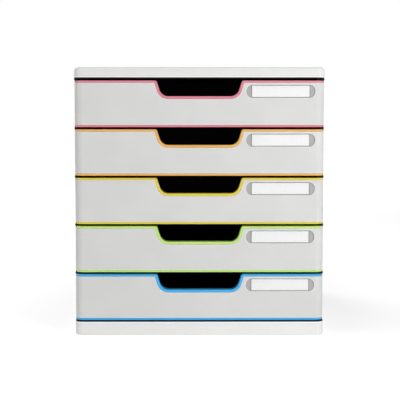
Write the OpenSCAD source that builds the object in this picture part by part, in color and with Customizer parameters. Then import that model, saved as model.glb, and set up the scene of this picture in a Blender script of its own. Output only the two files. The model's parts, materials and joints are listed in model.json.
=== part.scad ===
// Desk drawer tower with five sliding drawers, in a black casing between a grey cover and a grey plinth.
// The front faces -Y, +X is to the right, +Z is up. The origin is under the middle of the feet.

/* [Casing] */
// Width over everything
casing_w = 280; // [276:1:320]
// Depth over everything
casing_d = 350; // [320:1:420]
// Corner radius of the casing and the drawer fronts, seen from above
corner_r = 9; // [7:0.5:11]
// Height of the top cover
cover_h = 11.4; // [11:0.2:18]
// Rounding along the upper edge of the top cover
cover_edge_r = 3.5; // [1:0.5:6]
// Height of the plinth without its feet
plinth_h = 14.6; // [12:0.2:22]
// Rounding along the lower edge of the plinth
plinth_edge_r = 1; // [0.5:0.25:3]
// Wall of the cover and the plinth
shell_t = 2.4; // [2:0.1:3]
// Height of the raised rim where the cover and the plinth meet the side panels
rim_h = 1.2; // [0.8:0.1:2]
// How far that rim stands proud of the face
rim_proud = 0.5; // [0.2:0.1:1]

/* [Ribs inside the cover and the plinth] */
// Thickness of the ribs
rib_t = 1.8; // [1.2:0.1:2.4]
// How far the ribs stay below the edge of the wall
rib_drop = 3; // [2:0.5:5]
// Rib cells across the width
rib_columns = 8; // [8:1:10]
// Rib cells from front to back
rib_rows = 10; // [10:1:13]

/* [Feet] */
// Diameter of a rubber foot
foot_dia = 18; // [12:1:20]
// Thickness of a rubber foot
foot_t = 3; // [2:0.5:4]
// How far a foot stands out below the plinth
foot_proud = 0.4; // [0.2:0.1:1.4]
// Wall of the socket round a foot
foot_wall = 2; // [1.6:0.1:2.4]

/* [Black casing] */
// Thickness of a side panel
panel_t = 3; // [2.4:0.1:4]
// How far the black casing stands back from the rim above and below it
panel_inset = 0.4; // [0.2:0.1:0.8]
// Rounding along the casing's four long edges
casing_edge_r = 2; // [1:0.25:3]
// How far a side panel reaches across the back, round its rear corner
wrap_w = 16; // [12:1:24]
// How far the side panels reach forward between the drawer fronts
nose_l = 8; // [1:0.5:9]
// Thickness of the floor and the ceiling
liner_t = 1.2; // [0.8:0.1:1.4]
// Width of the flange along the top and the bottom of a side panel
flange_w = 8; // [7:0.5:12]
// Thickness of that flange
flange_t = 1.8; // [1.4:0.1:2]
// Thickness of the back panel
back_t = 2.4; // [1.8:0.1:3.2]
// Distance from the rounding of the rear corners to the back panel
back_margin = 1; // [0.5:0.1:3]
// Depth of the groove that holds the back panel
groove_depth = 1.5; // [1:0.1:1.8]
// How far the stiffening ribs stand out from the back panel
back_rib_h = 2; // [1:0.5:3]
// Length of the lugs that key a side panel into the cover and the plinth
lug_l = 22; // [14:1:26]
// Thickness of those lugs
lug_t = 2.4; // [1.6:0.1:3]
// Height of those lugs
lug_h = 6; // [4:0.5:8]

/* [Drawer fronts] */
// How far the ends of a drawer front stand back from the sides of the casing
front_inset = 1.1; // [0.6:0.1:2]
// Height of a drawer front
front_h = 51.6; // [50:0.1:70]
// Gap between one drawer front and the next
front_gap = 2.5; // [1.5:0.1:3]
// Gap between the plinth and the lowest drawer front
base_gap = 2.1; // [1.8:0.1:3]
// Gap between the highest drawer front and the cover
top_gap = 3.5; // [2.4:0.1:4]
// Depth of a drawer front from its face to the tray
front_d = 12.5; // [12:0.5:18]
// Rounding of the corners of a drawer front, seen from the front
front_corner_r = 2.7; // [1:0.1:2.7]
// Visible width of the coloured edge above and below
bead_h = 2.4; // [2:0.1:3.2]
// Visible width of the coloured edge round the finger cut-out
slot_bead_h = 3; // [2:0.1:3.2]
// Thickness of the grey front panel
skin_t = 3; // [2.8:0.1:3.6]
// How far the grey front panel lies behind the face of the coloured edge
skin_recess = 0.1; // [0.1:0.1:0.4]
// Shadow gap round the grey front panel
skin_gap = 0.1; // [0.1:0.05:0.4]
// Thickness of the web and the ribs of the coloured frame
web_t = 1.8; // [1.2:0.1:2.4]
// Rib cells across the coloured frame
frame_columns = 9; // [9:1:12]

/* [Finger cut-out] */
// Distance between the cut-out's upper corner and the label recess
slot_margin = 4.4; // [3.6:0.1:12]
// Depth of the cut-out
slot_h = 17.4; // [14:0.1:24]
// Lean of its sides from upright
slot_lean = 17.7; // [5:0.1:30]
// Radius of its lower corners
slot_r = 10.4; // [6:0.1:12]
// Radius where its sides meet the top edge
slot_ease_r = 2.5; // [1:0.1:3.5]

/* [Label] */
// Distance of the label recess from the side of the front
label_margin = 10.1; // [8:0.1:11]
// Distance of the label's middle below the top edge
label_drop = 11.9; // [11.5:0.1:18]
// Width of the label card
card_w = 63.7; // [50:0.1:64]
// Height of the label card
card_h = 12.5; // [8:0.1:12.7]
// Thickness of the label card
card_t = 0.3; // [0.2:0.05:0.4]
// Thickness of the clear label window in front of the card
window_t = 1.1; // [0.8:0.1:1.1]
// Play between the card and the window
card_play = 0.1; // [0.05:0.05:0.2]
// How far the window reaches past the card all round
window_edge = 0.4; // [0.2:0.1:0.5]
// Width of the label recess, with the finger space at each end
recess_w = 76.8; // [74:0.1:77.4]
// Height of the label recess
recess_h = 14.4; // [14:0.1:15.2]
// Radius of the ends of the recess
recess_r = 7.9; // [7.9:0.1:12]
// Depth of the recess
recess_depth = 1.6; // [1.6:0.1:2]

/* [Trays] */
// Wall of a tray
tray_t = 2; // [1.6:0.1:2.6]
// Floor of a tray
floor_t = 2; // [1.6:0.1:2.6]
// Height of a tray
tray_h = 43; // [38:0.5:44]
// Height of the tray's underside above the lower edge of its front
tray_lift = 3; // [2:0.5:4]
// Radius of the tray's rear corners
tray_r = 7; // [4:0.5:12]
// Thickness of the plate between the tray and its coloured frame
plate_t = 2.4; // [2:0.1:3]
// How far that plate stays inside the outline of the front
plate_inset = 0.2; // [0.1:0.1:1]
// Radius of that plate's corners
plate_r = 0.6; // [0.4:0.1:2]
// Room between a tray and the back panel's ribs
rear_room = 4; // [2:0.5:10]
// Height of the stiffening ribs under the tray
skid_h = 1.2; // [0.6:0.1:1.4]
// Width of those ribs
skid_w = 2; // [1.2:0.1:3]

/* [Runners] */
// Width of the ledge that carries a tray
ledge_w = 6; // [5:0.1:8]
// Thickness of that ledge
ledge_t = 2.4; // [1.6:0.1:3]
// Width of the guide above the tray's rim
guide_w = 4; // [3.6:0.1:4.6]
// Thickness of that guide
guide_t = 2; // [1.2:0.1:2.4]
// Thickness of the tray's rim flange
rail_t = 2; // [1.6:0.1:2.6]
// Play between the rim flange and the ledge or the guide
runner_play = 0.3; // [0.3:0.05:0.5]
// Play between the tray's wall and the ledge
side_play = 0.7; // [0.4:0.1:1]
// Thickness of the stop in the runner
stop_t = 1.6; // [1.2:0.1:1.8]
// Length of the stop and of the tab that meets it
stop_l = 4; // [3:0.5:8]
// How far a drawer slides out
travel = 260; // [120:1:270]

/* [Hidden] */
$fn = 72;
drawer_count = 5;
// Straight steps in an arc of the finger cut-out
arc_steps = 14;
grey_light = "#E6E6E4";
grey_panel = "#D8D8D6";
black_case = "#1B1B1C";
black_tray = "#232325";
rubber_grey = "#5A5A58";
card_white = "#F7F7F4";
window_clear = "#E8F2F4";
edge_colours = ["#E07C8C", "#F0B052", "#E2CB4C", "#BBDD76", "#43A8E8"];
// How far a cutting shape runs past the surface that it cuts
over = 1;
// Play of a piece in its socket or groove
fit = 0.1;
// Gap between a closed drawer and the side panels' edges
shut_gap = 0.6;

pitch = front_h + front_gap;
deck_z = foot_proud + plinth_h;
top_front_z = deck_z + base_gap + (drawer_count - 1) * pitch;
cover_z = top_front_z + front_h + top_gap;
front_y = -casing_d / 2;
front_w = casing_w - 2 * front_inset;
plate_y = front_y + front_d;
bin_y = plate_y + plate_t;

shell_w = casing_w - 2 * rim_proud;
shell_d = casing_d - 2 * rim_proud;
shell_r = corner_r - rim_proud;
inner_w = shell_w - 2 * shell_t;
inner_d = shell_d - 2 * shell_t;
cell_pitch_x = (inner_w + rib_t) / rib_columns;
cell_pitch_y = (inner_d + rib_t) / rib_rows;

panel_x = casing_w / 2 - panel_inset;
panel_inner_x = panel_x - panel_t;
panel_front_y = bin_y + shut_gap;
panel_rear_y = casing_d / 2 - panel_inset;
wall_z = deck_z + liner_t;
wall_top_z = cover_z - liner_t;
wall_h = wall_top_z - wall_z;
back_rear_y = casing_d / 2 - corner_r - back_margin;
back_front_y = back_rear_y - back_t;
runner_rear_y = back_front_y - back_rib_h;
lug_x = inner_w / 2 - 2 * fit;
lug_rows = [1, floor(rib_rows / 2), rib_rows - 2];

rim_z = tray_lift + tray_h;
ledge_z = rim_z - rail_t - runner_play;
guide_z = rim_z + runner_play;
tray_x = panel_inner_x - ledge_w - side_play;
stop_x = panel_inner_x - stop_t;
rail_x = stop_x - 2 * runner_play;
tab_x = panel_inner_x - runner_play;
tray_rear_y = runner_rear_y - rear_room;
stop_y = panel_front_y + over;
tab_y = stop_y + stop_l + travel + runner_play;

skin_y = front_y + skin_recess;
web_y = skin_y + skin_t;
recess_y = skin_y + recess_depth;
label_x = front_w / 2 - label_margin - recess_w / 2;
slot_w = 2 * (label_x - recess_w / 2 - slot_margin);
frame_cell_y = web_y + web_t;
frame_cell_span = front_w - 2 * (skin_recess + skin_t + web_t);
frame_cell_pitch = (frame_cell_span + web_t) / frame_columns;

CASING_NODES = [
    "top_cover", "base_plinth", "casing_floor", "casing_ceiling",
    "left_side_panel", "right_side_panel", "back_panel",
    "front_left_foot", "front_right_foot", "rear_left_foot", "rear_right_foot"
];
DRAWER_PIECES = ["tray", "front_frame", "front_panel", "label_card", "label_window"];

// Drawer 1 is the top one
function front_z(n) = top_front_z - (n - 1) * pitch;
function cell_x(column) = -inner_w / 2 + (cell_pitch_x - rib_t) / 2 + column * cell_pitch_x;
function cell_y(row) = -inner_d / 2 + (cell_pitch_y - rib_t) / 2 + row * cell_pitch_y;
// Points of an arc round the centre c from angle a0 to angle a1
function arc(c, r, a0, a1) = [
    for (i = [0:arc_steps])
        let (a = a0 + (a1 - a0) * i / arc_steps)
            c + r * [cos(a), sin(a)]
];

// ---- shared shapes ----

// Extrudes an outline drawn in X and Z from y0 to y1
module along_y(y0, y1) {
    translate([0, y1, 0])
    rotate([90, 0, 0])
    linear_extrude(y1 - y0)
    children();
}

// A quarter disc in the quadrant that sx and sy point to
module quarter(r, sx, sy) {
    intersection() {
        circle(r);
        translate([sx < 0 ? -r : 0, sy < 0 ? -r : 0])
        square(r);
    }
}

module rounded_rect(w, h, r) {
    square([w - 2 * r, h], center = true);
    square([w, h - 2 * r], center = true);
    for (sx = [-1, 1], sy = [-1, 1])
        translate([sx * (w / 2 - r), sy * (h / 2 - r)])
        quarter(r, sx, sy);
}

// Cross-section of a slab of height h with its upper edges rounded by e
module slab_section(w, h, e) {
    translate([-w / 2, 0])
    square([w, h - e]);
    translate([-w / 2 + e, 0])
    square([w - 2 * e, h]);
    for (s = [-1, 1])
        translate([s * (w / 2 - e), h - e])
        quarter(e, s, 1);
}

// Slab with corners of radius r seen from above and an upper edge rounded by e all round
module rounded_slab(w, d, h, r, e) {
    rotate([90, 0, 90])
    linear_extrude(w - 2 * r, center = true)
    slab_section(d, h, e);
    rotate([90, 0, 0])
    linear_extrude(d - 2 * r, center = true)
    slab_section(w, h, e);
    for (sx = [-1, 1], sy = [-1, 1])
        translate([sx * (w / 2 - r), sy * (d / 2 - r), 0])
        rotate_extrude()
        intersection() {
            slab_section(2 * r, h, e);
            square([r, h]);
        }
}

// ---- cover, plinth and feet ----

// Outside of the cover: the raised rim lies at z = 0, the rounded edge at z = h
module capping(h, e) {
    linear_extrude(rim_h)
    rounded_rect(casing_w, casing_d, corner_r);
    rounded_slab(shell_w, shell_d, h, shell_r, e);
}

// Hollow with its grid of ribs, open at z = 0
module ribbed_hollow(h) {
    translate([0, 0, -over])
    linear_extrude(rib_drop + over)
    rounded_rect(inner_w, inner_d, shell_r - shell_t);
    translate([0, 0, rib_drop / 2])
    linear_extrude(h - shell_t - rib_drop / 2)
    intersection() {
        rounded_rect(inner_w, inner_d, shell_r - shell_t);
        for (column = [0:rib_columns - 1], row = [0:rib_rows - 1])
            translate([cell_x(column), cell_y(row)])
            square([cell_pitch_x - rib_t, cell_pitch_y - rib_t], center = true);
    }
}

module top_cover() {
    color(grey_light)
    translate([0, 0, cover_z])
    difference() {
        capping(cover_h, cover_edge_r);
        ribbed_hollow(cover_h);
    }
}

// Puts a shape in the outer cell of the plinth, at the left or right and front or rear
module at_foot(sx, sy) {
    translate([sx * cell_x(rib_columns - 1), sy * cell_y(rib_rows - 1), 0])
    children();
}

module base_plinth() {
    // sockets start half way up the feet, clear of the surface below
    socket_z = (foot_proud + foot_t) / 2;
    color(grey_light)
    difference() {
        union() {
            difference() {
                translate([0, 0, deck_z])
                mirror([0, 0, 1])
                capping(plinth_h, plinth_edge_r);
                translate([0, 0, foot_proud])
                ribbed_hollow(plinth_h);
            }
            for (sx = [-1, 1], sy = [-1, 1])
                at_foot(sx, sy)
                translate([0, 0, socket_z])
                cylinder(d = foot_dia + 2 * foot_wall, h = deck_z - shell_t / 2 - socket_z);
        }
        for (sx = [-1, 1], sy = [-1, 1])
            at_foot(sx, sy)
            cylinder(d = foot_dia + 2 * fit, h = foot_t);
        for (s = [-1, 1], row = lug_rows)
            translate([s * (lug_x - lug_t / 2), cell_y(row), deck_z - shell_t])
            cube([lug_t + 2 * fit, lug_l + 2 * fit, 2 * shell_t + over], center = true);
    }
}

module foot(sx, sy) {
    color(rubber_grey)
    at_foot(sx, sy)
    cylinder(d = foot_dia, h = foot_t);
}

// ---- black casing ----

// Casing seen from above, inset by t on all sides
module casing_plan(t) {
    rounded_rect(2 * (panel_x - t), 2 * (panel_rear_y - t), corner_r - panel_inset - t);
}

// Room for the casing seen from the front, with its rounded long edges
module casing_section() {
    along_y(-casing_d, casing_d)
    translate([0, (deck_z + cover_z) / 2])
    rounded_rect(2 * panel_x, cover_z - deck_z, casing_edge_r);
}

// Wall of the left side panel seen from above, between y0 and y1, with its return across the back
module wall_plan(y0, y1) {
    intersection() {
        difference() {
            casing_plan(0);
            casing_plan(panel_t);
        }
        translate([-panel_x - over, y0])
        square([wrap_w + over, y1 - y0]);
    }
}

// Floor or ceiling at height z, with slots for the side panels' lugs
module liner(z) {
    color(black_case)
    intersection() {
        casing_section();
        translate([0, 0, z])
        linear_extrude(liner_t)
        difference() {
            casing_plan(0);
            for (s = [-1, 1], row = lug_rows)
                translate([s * (lug_x - lug_t / 2), cell_y(row)])
                square([lug_t + 2 * fit, lug_l + 2 * fit], center = true);
        }
    }
}

// Ledge below the rim flange of drawer n, guide above it and the stop between them
module runner(n) {
    runner_l = runner_rear_y - stop_y;
    translate([-panel_inner_x - over, stop_y, front_z(n)]) {
        translate([0, 0, ledge_z - ledge_t])
        cube([ledge_w + over, runner_l, ledge_t]);
        translate([0, 0, guide_z])
        cube([guide_w + over, runner_l, guide_t]);
        translate([0, 0, ledge_z - over])
        cube([stop_t + over, stop_l, guide_z - ledge_z + 2 * over]);
    }
}

// Nose that fills the end of the gap above drawer n
module nose(n) {
    translate([0, 0, front_z(n) + front_h + shut_gap])
    linear_extrude(n == 1 ? top_gap - liner_t - shut_gap : front_gap - 2 * shut_gap)
    wall_plan(panel_front_y - nose_l, panel_front_y + over);
}

// Lug that starts at height z and runs through the floor or the ceiling
module lug(row, z) {
    translate([-lug_x, cell_y(row) - lug_l / 2, z])
    cube([lug_t, lug_l, lug_h + liner_t + over]);
}

// The left side panel; the right one is its mirror image
module side_panel() {
    color(black_case)
    difference() {
        union() {
            intersection() {
                casing_section();
                union() {
                    translate([0, 0, wall_z])
                    linear_extrude(wall_h)
                    wall_plan(panel_front_y, panel_rear_y + over);
                    for (z = [wall_z, wall_top_z - flange_t])
                        translate([0, 0, z])
                        linear_extrude(flange_t)
                        intersection() {
                            casing_plan(0);
                            translate([-panel_x - over, panel_front_y])
                            square([flange_w + over, 2 * panel_rear_y]);
                        }
                    for (n = [1:drawer_count])
                        nose(n);
                }
            }
            for (n = [1:drawer_count])
                runner(n);
            for (row = lug_rows) {
                lug(row, wall_top_z - over);
                lug(row, deck_z - lug_h);
            }
        }
        translate([-panel_inner_x - groove_depth - fit, back_front_y - fit, wall_z - over])
        cube([flange_w + over, back_t + 2 * fit, wall_h + 2 * over]);
    }
}

module back_panel() {
    back_w = 2 * (panel_inner_x + groove_depth);
    color(black_case)
    translate([0, 0, wall_z]) {
        translate([-back_w / 2, back_front_y, 0])
        cube([back_w, back_t, wall_h]);
        for (column = [2, 4, 6])
            translate([cell_x(column) - cell_pitch_x / 2 - rib_t / 2, runner_rear_y, flange_t])
            cube([rib_t, back_rib_h + over, wall_h - 2 * flange_t]);
    }
}

// ---- drawer fronts, drawn with the lower edge at z = 0 ----

// Front seen from above: inset on all sides but the rear, which lies at back_y
module front_plan(inset, back_y) {
    w = front_w - 2 * inset;
    r = corner_r - inset;
    y0 = front_y + inset;
    translate([-w / 2, y0 + r])
    square([w, back_y - y0 - r]);
    translate([-w / 2 + r, y0])
    square([w - 2 * r, r + over]);
    for (s = [-1, 1])
        translate([s * (w / 2 - r), y0 + r])
        quarter(r, s, -1);
}

// Finger cut-out widened by grow on all sides, from the middle of the top edge at [0, 0] down
module finger_slot(grow) {
    half = slot_w / 2 + grow / cos(slot_lean);
    depth = slot_h + grow;
    r = slot_r + grow;
    lower = [-half + (r + (depth - r) * sin(slot_lean)) / cos(slot_lean), r - depth];
    upper = [-half - slot_ease_r * (1 - sin(slot_lean)) / cos(slot_lean), -slot_ease_r];
    left = concat(
        [[upper.x, over]],
        arc(upper, slot_ease_r, 90, slot_lean),
        arc(lower, r, 180 + slot_lean, 270)
    );
    right = [for (i = [len(left) - 1:-1:0]) [-left[i].x, left[i].y]];
    polygon(concat(left, right));
}

// Field inside the coloured edge, less a gap all round
module front_field(gap) {
    difference() {
        translate([-casing_w / 2 - over, bead_h + gap])
        square([casing_w + 2 * over, front_h - 2 * (bead_h + gap)]);
        translate([0, front_h])
        finger_slot(slot_bead_h + gap);
    }
}

// Coloured frame: edge strips above, below and round the cut-out, a web behind the grey panel, ribs
module front_frame(n) {
    color(edge_colours[n - 1])
    translate([0, 0, front_z(n)])
    difference() {
        intersection() {
            linear_extrude(front_h)
            front_plan(0, plate_y);
            along_y(front_y - over, plate_y + over)
            difference() {
                translate([0, front_h / 2])
                rounded_rect(front_w, front_h, front_corner_r);
                translate([0, front_h])
                finger_slot(0);
            }
        }
        intersection() {
            linear_extrude(front_h)
            difference() {
                translate([-casing_w / 2 - over, front_y - over])
                square([casing_w + 2 * over, front_d + 2 * over]);
                front_plan(skin_recess + skin_t, plate_y + 2 * over);
            }
            along_y(front_y - 2 * over, plate_y + 2 * over)
            front_field(0);
        }
        along_y(frame_cell_y, plate_y + over)
        intersection() {
            front_field(0);
            for (column = [0:frame_columns - 1], row = [0, 1])
                translate([
                    column * frame_cell_pitch - frame_cell_span / 2,
                    bead_h + row * (front_h - 2 * bead_h + web_t) / 2
                ])
                square([frame_cell_pitch - web_t, (front_h - 2 * bead_h - web_t) / 2]);
        }
    }
}

// Outline of the label recess round [0, 0]
module recess_outline() {
    sagitta = recess_r - sqrt(recess_r * recess_r - recess_h * recess_h / 4);
    square([recess_w - 2 * sagitta, recess_h], center = true);
    intersection() {
        for (s = [-1, 1])
            translate([s * (recess_w / 2 - recess_r), 0])
            circle(recess_r);
        square([recess_w + over, recess_h], center = true);
    }
}

module at_label(n) {
    translate([label_x, 0, front_z(n) + front_h - label_drop])
    children();
}

// Grey panel that wraps round both corners, with its cut-out and label recess
module front_panel(n) {
    color(grey_panel)
    difference() {
        translate([0, 0, front_z(n)])
        intersection() {
            linear_extrude(front_h)
            difference() {
                front_plan(skin_recess, plate_y);
                front_plan(skin_recess + skin_t, plate_y + over);
            }
            along_y(front_y, plate_y + over)
            front_field(skin_gap);
        }
        at_label(n)
        along_y(front_y, recess_y)
        recess_outline();
    }
}

module label_card(n) {
    color(card_white)
    at_label(n)
    along_y(recess_y - card_t, recess_y)
    square([card_w, card_h], center = true);
}

// Clear window with a pocket behind it that the card lies in
module label_window(n) {
    pocket_y = recess_y - card_t - card_play;
    color(window_clear)
    at_label(n)
    difference() {
        along_y(pocket_y - window_t, recess_y)
        rounded_rect(card_w + 2 * window_edge, card_h + 2 * window_edge, window_edge);
        along_y(pocket_y, recess_y + over)
        square([card_w + 2 * fit, card_h + 2 * fit], center = true);
    }
}

// ---- trays ----

// Tray seen from above, inset on all sides, with rounded rear corners
module bin_plan(inset, r) {
    x = tray_x - inset;
    rear_y = tray_rear_y - inset;
    translate([-x, bin_y - over])
    square([2 * x, rear_y - r - bin_y + over]);
    translate([-x + r, rear_y - r - over])
    square([2 * (x - r), r + over]);
    for (s = [-1, 1])
        translate([s * (x - r), rear_y - r])
        quarter(r, s, 1);
}

// Room inside the tray, with all four upright corners rounded
module bin_room() {
    room_l = tray_rear_y - tray_t - bin_y;
    translate([0, bin_y + room_l / 2])
    rounded_rect(2 * (tray_x - tray_t), room_l, tray_r - tray_t);
}

module tray(n) {
    color(black_tray)
    translate([0, 0, front_z(n)]) {
        difference() {
            union() {
                translate([0, 0, tray_lift])
                linear_extrude(tray_h)
                bin_plan(0, tray_r);
                along_y(plate_y, bin_y)
                translate([0, front_h / 2])
                rounded_rect(front_w - 2 * plate_inset, front_h - 2 * plate_inset, plate_r);
                // rim flanges that hang on the runners, and their stop tabs
                for (s = [0, 1])
                    mirror([s, 0, 0])
                    translate([-rail_x, bin_y - over, rim_z - rail_t]) {
                        cube([rail_x - tray_x + tray_t, tray_rear_y - tray_r - bin_y + over, rail_t]);
                        translate([rail_x - tab_x, tab_y - bin_y + over, 0])
                        cube([tab_x - rail_x + over, stop_l, rail_t]);
                    }
                // stiffening ribs under the floor
                for (x = [-tray_x / 2, 0, tray_x / 2])
                    translate([x - skid_w / 2, bin_y - over, tray_lift - skid_h])
                    cube([skid_w, tray_rear_y - tray_r - bin_y, skid_h + over]);
            }
            translate([0, 0, tray_lift + floor_t])
            linear_extrude(tray_h)
            bin_room();
            along_y(plate_y - over, bin_y + over)
            translate([0, front_h])
            finger_slot(fit);
        }
    }
}

// ---- drawing ----

top_cover();
base_plinth();
liner(deck_z);  // casing_floor
liner(wall_top_z);  // casing_ceiling
side_panel();  // left_side_panel
mirror([1, 0, 0]) side_panel();  // right_side_panel
back_panel();
foot(-1, -1);  // front_left_foot
foot(1, -1);  // front_right_foot
foot(-1, 1);  // rear_left_foot
foot(1, 1);  // rear_right_foot
for (n = [1:drawer_count]) {
    tray(n);
    front_frame(n);
    front_panel(n);
    label_card(n);
    label_window(n);
}
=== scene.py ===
"""Looks of the desk drawer tower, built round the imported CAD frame, in metres.

The drawer fronts face -Y, +X is to the right and +Z is up.
"""

import json
import math

import bpy
from mathutils import Matrix, Vector


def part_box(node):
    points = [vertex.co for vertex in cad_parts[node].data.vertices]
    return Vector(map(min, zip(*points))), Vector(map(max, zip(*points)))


MM = 0.001
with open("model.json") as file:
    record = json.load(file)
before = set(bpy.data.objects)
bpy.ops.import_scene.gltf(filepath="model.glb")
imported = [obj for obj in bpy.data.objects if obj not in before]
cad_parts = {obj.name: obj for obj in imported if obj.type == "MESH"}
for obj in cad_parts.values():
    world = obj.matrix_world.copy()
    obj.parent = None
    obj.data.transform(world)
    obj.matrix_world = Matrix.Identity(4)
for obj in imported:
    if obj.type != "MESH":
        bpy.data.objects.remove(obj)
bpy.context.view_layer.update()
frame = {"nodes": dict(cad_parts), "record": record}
NODES = frame["nodes"]
SLOT_OF = {part["node"]: part["material_slot"] for part in frame["record"]["subparts"]}

# ---- shader building ----


def srgb(code):
    """Linear colour of a six-digit sRGB code."""
    channels = [int(code[i : i + 2], 16) / 255 for i in (0, 2, 4)]
    return [c / 12.92 if c <= 0.04045 else ((c + 0.055) / 1.055) ** 2.4 for c in channels] + [1.0]


class Shader:
    """A material's node tree with short calls for the nodes that these plastics need."""

    def __init__(self, name):
        self.material = bpy.data.materials.new(name)
        self.material.use_nodes = True
        self.tree = self.material.node_tree
        self.tree.nodes.clear()
        self.output = self.node("ShaderNodeOutputMaterial")
        self.place = self.node("ShaderNodeTexCoord").outputs["Object"]

    def node(self, kind, settings=(), **inputs):
        """New node; an underscore in an input's keyword stands for a space."""
        made = self.tree.nodes.new(kind)
        for key, value in dict(settings).items():
            setattr(made, key, value)
        for key, value in inputs.items():
            self.put(made.inputs[key.replace("_", " ")], value)
        return made

    def put(self, socket, value):
        """Links value to an input socket, or sets it there."""
        if isinstance(value, bpy.types.NodeSocket):
            self.tree.links.new(value, socket)
        else:
            socket.default_value = value

    def math(self, operation, a, b=0.0):
        made = self.node("ShaderNodeMath", {"operation": operation})
        self.put(made.inputs[0], a)
        self.put(made.inputs[1], b)
        return made.outputs[0]

    def ramp(self, value, low, high, to_low=0.0, to_high=1.0):
        """Maps value from the range low..high to to_low..to_high, with soft ends."""
        made = self.node("ShaderNodeMapRange", {"interpolation_type": "SMOOTHSTEP"})
        for i, v in enumerate((value, low, high, to_low, to_high)):
            self.put(made.inputs[i], v)
        return made.outputs[0]

    def mix(self, share, a, b):
        """Colour a where share is 0, and b where it is 1."""
        made = self.node("ShaderNodeMix", {"data_type": "RGBA", "clamp_factor": True})
        for i, v in ((0, share), (6, a), (7, b)):
            self.put(made.inputs[i], v)
        return made.outputs[2]

    def noise(self, size, detail=2.0, roughness=0.5, stretch=None, shift=0.0):
        """Noise whose features are about size metres across."""
        place = self.place
        if stretch or shift:
            move = {"Scale": stretch or (1, 1, 1), "Location": (shift, shift, shift)}
            place = self.node("ShaderNodeMapping", Vector=place, **move).outputs[0]
        look = {"Scale": 1 / size, "Detail": detail, "Roughness": roughness}
        return self.node("ShaderNodeTexNoise", Vector=place, **look).outputs["Fac"]

    def cells(self, size):
        """Rounded pits about size metres across."""
        kind, look = {"feature": "SMOOTH_F1"}, {"Scale": 1 / size, "Smoothness": 0.6}
        made = self.node("ShaderNodeTexVoronoi", kind, Vector=self.place, **look)
        return made.outputs["Distance"]

    def edges(self, radius):
        """About 1 along sharp edges and 0 on open faces."""
        soft = self.node("ShaderNodeBevel", {"samples": 4}, Radius=radius).outputs[0]
        true = self.node("ShaderNodeNewGeometry").outputs["Normal"]
        dot = self.node("ShaderNodeVectorMath", {"operation": "DOT_PRODUCT"})
        self.put(dot.inputs[0], soft)
        self.put(dot.inputs[1], true)
        return self.ramp(dot.outputs["Value"], 0.995, 0.90)

    def bump(self, height, depth):
        """Turns height 0..1 into relief of depth metres."""
        return self.node("ShaderNodeBump", Height=height, Distance=depth, Strength=1.0).outputs[0]

    def finish(self, **inputs):
        """Ends the material with a principled shader."""
        shader = self.node("ShaderNodeBsdfPrincipled")
        for key, value in inputs.items():
            self.put(shader.inputs[key.replace("_", " ")], value)
        self.tree.links.new(shader.outputs[0], self.output.inputs["Surface"])
        return self.material


NOISE_SPAN = 0.3, 0.7  # nearly all values of a noise lie in it
CLOUD_SIZE, SMEAR_SIZE, RUB_SIZE = 45 * MM, 20 * MM, 6 * MM
FINE_SIZE = 2.2  # size of the fine noise, in grains
HAZE = 0.015  # how far the roughness varies, up and down
POLISH = -0.12  # roughness of a rubbed edge, less that of the open face


def plastic(
    name,
    colour,
    roughness,
    grain,
    depth,
    tone=0.02,
    wear=0.05,
    wear_size=0.5,
    shine=0.5,
    extra=None,
):
    """Moulded plastic: cloudy tone, grain, and edges rubbed paler and smoother.

    The grain's size and depth and the rubbed edge's width wear_size are in mm. tone and wear are
    the strength of the clouds and of the rubbing. extra(shader, colour) returns the colour changed
    in places.
    """
    s = Shader(name)
    base = srgb(colour)
    dark = [c * (1 - tone) for c in base[:3]] + [1.0]
    light = [min(1.0, c * (1 + tone)) for c in base[:3]] + [1.0]
    rubbed = [min(1.0, c + wear) for c in base[:3]] + [1.0]
    clouds = s.noise(CLOUD_SIZE, detail=3.0)
    fine = s.noise(grain * MM * FINE_SIZE, roughness=0.6)
    pits = s.cells(grain * MM)
    rubs = s.ramp(s.noise(RUB_SIZE, 3.0, shift=3.1), 0.42, 0.62)
    edge = s.math("MULTIPLY", s.edges(wear_size * MM), rubs)
    body = s.mix(s.ramp(clouds, *NOISE_SPAN), dark, light)
    body = s.mix(s.ramp(fine, 0.35, 0.75, 0.0, 0.35), body, dark)
    body = s.mix(edge, body, rubbed)
    if extra:
        body = extra(s, body)
    smears = s.noise(SMEAR_SIZE, 3.0, stretch=(0.35, 1, 1), shift=1.7)
    rough = s.math("ADD", s.ramp(smears, 0.35, 0.7, -HAZE, HAZE), roughness)
    rough = s.math("ADD", rough, s.math("MULTIPLY", edge, POLISH))
    relief = s.math("ADD", s.math("MULTIPLY", pits, 0.6), s.math("MULTIPLY", fine, 0.8))
    return s.finish(
        Base_Color=body,
        Roughness=s.math("MAXIMUM", rough, 0.05),
        Normal=s.bump(relief, depth * MM),
        IOR=1.49,
        Specular_IOR_Level=shine,
    )


RIM_H = 1.2 * MM
# reach of the painted highlight along the grey panel's edges
PAINTED_HIGHLIGHT_RADIUS = 1.5 * MM
RECESS_W = 76.8 * MM
RECESS_PAINTED_SHADE = 0.8 * MM, 5.65 * MM  # where the painted shade on the recess floor starts and ends, behind the face
WINDOW_END_SHADOW_W = 0.9 * MM  # painted shadow line at each end of the label window


def within(s, value, start, end, blur_in, blur_out):
    """1 from start to end, 0 outside, with fades blur_in and blur_out wide across the two ends."""
    into = s.ramp(value, start - blur_in / 2, start + blur_in / 2)
    out = s.ramp(value, end + blur_out / 2, end - blur_out / 2)
    return s.math("MULTIPLY", into, out)


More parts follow.
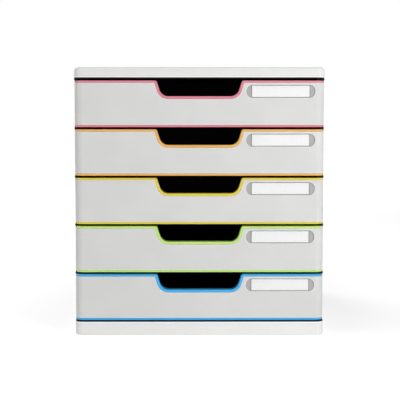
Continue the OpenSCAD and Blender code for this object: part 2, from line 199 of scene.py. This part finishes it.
def rim_painted_highlight(s, body):
    """Painted highlight: the proud rims beside the black casing are coloured paler for the light
    they catch.
    """
    z = s.node("ShaderNodeSeparateXYZ", Vector=s.place).outputs["Z"]
    cover_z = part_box("top_cover")[0].z
    deck_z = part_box("base_plinth")[1].z
    # painted highlight: the cover's bottom rim and the plinth's top rim are coloured paler
    cover_rim_highlight = within(s, z, cover_z, cover_z + RIM_H, 0.2 * MM, 0.4 * MM)
    plinth_rim_highlight = within(s, z, deck_z - RIM_H, deck_z, 0.4 * MM, 0.2 * MM)
    return s.mix(plinth_rim_highlight, s.mix(cover_rim_highlight, body, srgb("F6F6F5")), srgb("FFFFFF"))


def panel_painted_light(s, body):
    """Painted highlight along the panel's edges, painted shade on the label recess's floor and by
    the window's ends.
    """
    window_low, window_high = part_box("drawer_1_label_window")
    label_x = (window_low.x + window_high.x) / 2
    window_half = (window_high.x - window_low.x) / 2
    face_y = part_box("drawer_1_front_panel")[0].y
    # painted highlight: paler colour along the panel's edges
    body = s.mix(s.edges(PAINTED_HIGHLIGHT_RADIUS), body, srgb("F8F8F7"))
    split = s.node("ShaderNodeSeparateXYZ", Vector=s.place)
    start, end = (face_y + y for y in RECESS_PAINTED_SHADE)
    sunk = within(s, split.outputs["Y"], start, end, 0.8 * MM, 2.5 * MM)
    across = s.math("ABSOLUTE", s.math("SUBTRACT", split.outputs["X"], label_x))
    inside = s.ramp(across, RECESS_W / 2 + 0.3 * MM, RECESS_W / 2 - 0.1 * MM)
    # painted shadow: a darker band beside each end of the label window
    beside = s.ramp(across, window_half + WINDOW_END_SHADOW_W, window_half + WINDOW_END_SHADOW_W / 2)
    # painted shade: the recess floor is coloured darker, darker still beside the window's ends
    floor = s.mix(beside, srgb("B0B0AF"), srgb("8C8C8B"))
    return s.mix(s.math("MULTIPLY", sunk, inside), body, floor)


def card_paper(name):
    """White card with faint fibres along its length."""
    s = Shader(name)
    fibres = s.noise(0.9 * MM, 4.0, 0.65, stretch=(0.4, 1, 1))
    clouds = s.noise(20 * MM)
    body = s.mix(s.ramp(clouds, *NOISE_SPAN), srgb("F5F5F5"), srgb("F7F7F6"))
    body = s.mix(s.ramp(fibres, 0.55, 0.85, 0.0, 0.12), body, srgb("E6E5E2"))
    return s.finish(
        Base_Color=body,
        Roughness=s.ramp(fibres, *NOISE_SPAN, 0.78, 0.92),
        Normal=s.bump(fibres, 0.01 * MM),
        Specular_IOR_Level=0.3,
    )


def clear_plastic(name):
    """Clear moulding with faint smears, nearly out of sight in front of the card."""
    s = Shader(name)
    smears = s.noise(12 * MM, 3.0, stretch=(0.4, 1, 1))
    return s.finish(
        Base_Color=s.mix(smears, srgb("F6FAFA"), srgb("FFFFFF")),
        Roughness=s.ramp(smears, 0.3, 0.75, 0.06, 0.16),
        Normal=s.bump(s.noise(8 * MM), 0.02 * MM),
        Alpha=0.12,
        IOR=1.49,
    )


def rubber(name):
    """Matte rubber with a little dust."""
    s = Shader(name)
    grain = s.noise(0.5 * MM, 3.0)
    dust = s.ramp(s.noise(4 * MM, 3.0), 0.45, 0.75)
    return s.finish(
        Base_Color=s.mix(dust, srgb("58585A"), srgb("727270")),
        Roughness=s.ramp(grain, *NOISE_SPAN, 0.72, 0.9),
        Normal=s.bump(grain, 0.08 * MM),
        Specular_IOR_Level=0.35,
    )


COVER = {"roughness": 0.5, "grain": 0.5, "depth": 0.012, "tone": 0.012, "wear": 0.03}
PANEL = {"roughness": 0.6, "grain": 0.55, "depth": 0.05, "wear": 0.03}
CASING = {"roughness": 0.5, "grain": 0.6, "depth": 0.04, "tone": 0.05, "wear": 0.008, "shine": 0.25}
TRAY = {"roughness": 0.45, "grain": 0.9, "depth": 0.012, "tone": 0.05, "wear": 0.01, "shine": 0.25}
EDGE = {"roughness": 0.3, "grain": 0.8, "depth": 0.006, "tone": 0.03, "wear_size": 0.4}
EDGE_COLOURS = {
    "red": "DE8394",
    "orange": "EAB260",
    "yellow": "E1CE4C",
    "green": "C2E87E",
    "blue": "40AFEE",
}

MATERIALS = {
    "light_grey_plastic": plastic("cover_plastic", "E3E3E2", **COVER, extra=rim_painted_highlight),
    "panel_grey_plastic": plastic("front_plastic", "D7D7D6", **PANEL, extra=panel_painted_light),
    "black_plastic": plastic("casing_plastic", "0F0F10", **CASING),
    "tray_plastic": plastic("tray_plastic", "121213", **TRAY),
    "foot_rubber": rubber("foot_rubber"),
    "white_card": card_paper("label_card"),
    "clear_window": clear_plastic("label_window"),
}
for colour, code in EDGE_COLOURS.items():
    MATERIALS[f"{colour}_edge"] = plastic(f"{colour}_edge", code, **EDGE)
# painted light: the plinth gets a paler copy of the cover's plastic, for the brighter light on it
PLINTH_PAINTED_PALER = plastic("plinth_plastic_painted_paler", "EAEAE9", **COVER, extra=rim_painted_highlight)

# ---- CAD nodes: material and softened edges ----

# width in mm and steps of a node's softened edges, by what its name ends with
SOFT_EDGE = {
    "top_cover": (0.25, 2),
    "base_plinth": (0.25, 2),
    "casing_floor": (0.2, 2),
    "casing_ceiling": (0.2, 2),
    "side_panel": (0.25, 2),
    "back_panel": (0.3, 2),
    "front_frame": (0.75, 3),
    "front_panel": (0.22, 2),
    "tray": (0.35, 2),
    "label_card": (0.0, 0),
    "label_window": (0.1, 2),
    "foot": (0.5, 3),
}
FLAT_ANGLE, SHARP_ANGLE = math.radians(0.4), math.radians(32)


def soften(obj, width, steps):
    """Joins the mesh's faces into whole ones and rounds its sharp edges."""
    weld = obj.modifiers.new("weld", "WELD")
    weld.merge_threshold = 0.001 * MM
    flat = obj.modifiers.new("whole faces", "DECIMATE")
    flat.decimate_type = "DISSOLVE"
    flat.angle_limit = FLAT_ANGLE
    if width:
        bevel = obj.modifiers.new("soft edges", "BEVEL")
        bevel.width = width * MM
        bevel.segments = steps
        bevel.limit_method = "ANGLE"
        bevel.angle_limit = SHARP_ANGLE
        bevel.use_clamp_overlap = False
        bevel.miter_outer = "MITER_SHARP"
    normals = obj.modifiers.new("even shading", "WEIGHTED_NORMAL")
    normals.keep_sharp = False
    normals.weight = 80


for name, obj in NODES.items():
    obj.data.materials.clear()
    obj.data.materials.append(PLINTH_PAINTED_PALER if name == "base_plinth" else MATERIALS[SLOT_OF[name]])
    kind = next(k for k in SOFT_EDGE if name.endswith(k))
    soften(obj, *SOFT_EDGE[kind])

# ---- floor, light and camera ----

scene = bpy.context.scene
scene.view_settings.view_transform = "Standard"


def seen_directly(tree):
    """1 for camera, glossy and transmission rays, 0 for the light that reaches the object."""
    path = tree.nodes.new("ShaderNodeLightPath")
    total = path.outputs["Is Camera Ray"]
    for other in ("Is Glossy Ray", "Is Transmission Ray"):
        join = tree.nodes.new("ShaderNodeMath")
        join.operation = "MAXIMUM"
        tree.links.new(total, join.inputs[0])
        tree.links.new(path.outputs[other], join.inputs[1])
        total = join.outputs[0]
    return total


def make_world(strength):
    """White where it is seen, and of that strength as light."""
    world = bpy.data.worlds.new("studio")
    world.use_nodes = True
    tree = world.node_tree
    tree.nodes.clear()
    output = tree.nodes.new("ShaderNodeOutputWorld")
    mix = tree.nodes.new("ShaderNodeMixShader")
    tree.links.new(seen_directly(tree), mix.inputs[0])
    for i, level in ((1, strength), (2, 1.0)):
        back = tree.nodes.new("ShaderNodeBackground")
        back.inputs["Color"].default_value = (1, 1, 1, 1)
        back.inputs["Strength"].default_value = level
        tree.links.new(back.outputs[0], mix.inputs[i])
    tree.links.new(mix.outputs[0], output.inputs[0])
    scene.world = world


LIT_MIDDLE_Y = 0.4  # the middle of the floor's lit part, behind the tower
LAMP_REACH = 0.9, 1.9  # how far from it the lamps' light starts to fade, and has faded


def make_floor(size, base, near_lift, far_lift):
    """Plain floor, lifted to white where it is seen, less the shadow.

    base is how much of the light it shows there. The lift is near_lift in the lit middle, and
    far_lift past the lamps' reach.
    """
    half = size / 2
    mesh = bpy.data.meshes.new("floor")
    corners = [(-half, -half, 0), (half, -half, 0), (half, half, 0), (-half, half, 0)]
    mesh.from_pydata(corners, [], [(0, 1, 2, 3)])
    floor = bpy.data.objects.new("floor", mesh)
    scene.collection.objects.link(floor)
    s = Shader("floor")
    paint = s.mix(s.noise(0.4), srgb("EAEAE9"), srgb("EEEEED"))
    pale = s.node("ShaderNodeBsdfDiffuse", Color=paint)
    dim = s.node("ShaderNodeBsdfDiffuse", Color=[base, base, base, 1.0])
    offset = s.node("ShaderNodeMapping", Vector=s.place, Location=(0, -LIT_MIDDLE_Y, 0)).outputs[0]
    away = s.node("ShaderNodeVectorMath", {"operation": "LENGTH"}, Vector=offset).outputs["Value"]
    glow = s.node("ShaderNodeEmission", Strength=s.ramp(away, *LAMP_REACH, near_lift, far_lift))
    total = s.node("ShaderNodeAddShader")
    s.put(total.inputs[0], dim.outputs[0])
    s.put(total.inputs[1], glow.outputs[0])
    mix = s.node("ShaderNodeMixShader", Fac=seen_directly(s.tree))
    s.put(mix.inputs[1], pale.outputs[0])
    s.put(mix.inputs[2], total.outputs[0])
    s.tree.links.new(mix.outputs[0], s.output.inputs["Surface"])
    mesh.materials.append(s.material)


def lamp(name, place, target, size, power):
    """Round soft lamp, size metres across, of that power in watts."""
    data = bpy.data.lights.new(name, "AREA")
    data.shape = "DISK"
    data.size = size
    data.energy = power
    obj = bpy.data.objects.new(name, data)
    obj.location = place
    obj.rotation_euler = (Vector(target) - Vector(place)).to_track_quat("-Z", "Y").to_euler()
    obj.visible_camera = False
    scene.collection.objects.link(obj)


make_world(strength=0.27)
make_floor(size=8.0, base=0.60, near_lift=0.65, far_lift=0.86)
FRONT_HALF, REAR_HALF = (0, -0.1, 0.15), (0, 0.1, 0.15)  # what the lamps point at
lamp("key", (0.80, -1.20, 0.30), FRONT_HALF, size=0.6, power=9.6)
lamp("fill", (-1.60, -0.70, 0.40), FRONT_HALF, size=1.2, power=7.45)
lamp("top", (0.0, -0.45, 1.50), FRONT_HALF, size=0.8, power=4.4)
lamp("rear", (-0.9, 1.6, 1.1), REAR_HALF, size=1.2, power=14)

PICTURE_W = 400  # pixels


def make_camera(place, yaw, pitch, roll, focal_px):
    """Camera turned by yaw to +X, by pitch up and by roll to the right, in degrees.

    focal_px is its focal length in pixels of the picture.
    """
    yaw, pitch, roll = (math.radians(angle) for angle in (yaw, pitch, roll))
    cy, sy, cp, sp = math.cos(yaw), math.sin(yaw), math.cos(pitch), math.sin(pitch)
    ahead = Vector((sy * cp, cy * cp, sp))
    level = Vector((cy, -sy, 0))
    up = level.cross(ahead)
    right = math.cos(roll) * level + math.sin(roll) * up
    top = -math.sin(roll) * level + math.cos(roll) * up
    data = bpy.data.cameras.new("camera")
    data.sensor_width = 36
    data.lens = focal_px * data.sensor_width / PICTURE_W
    data.clip_start, data.clip_end = 0.05, 50
    obj = bpy.data.objects.new("camera", data)
    turn = Matrix((right, top, -ahead)).transposed().to_4x4()
    obj.matrix_world = Matrix.Translation(place) @ turn
    scene.collection.objects.link(obj)
    scene.camera = obj


make_camera((-0.0069, -1.575, 0.2617), yaw=0.314, pitch=-4.466, roll=0.008, focal_px=1258.9)
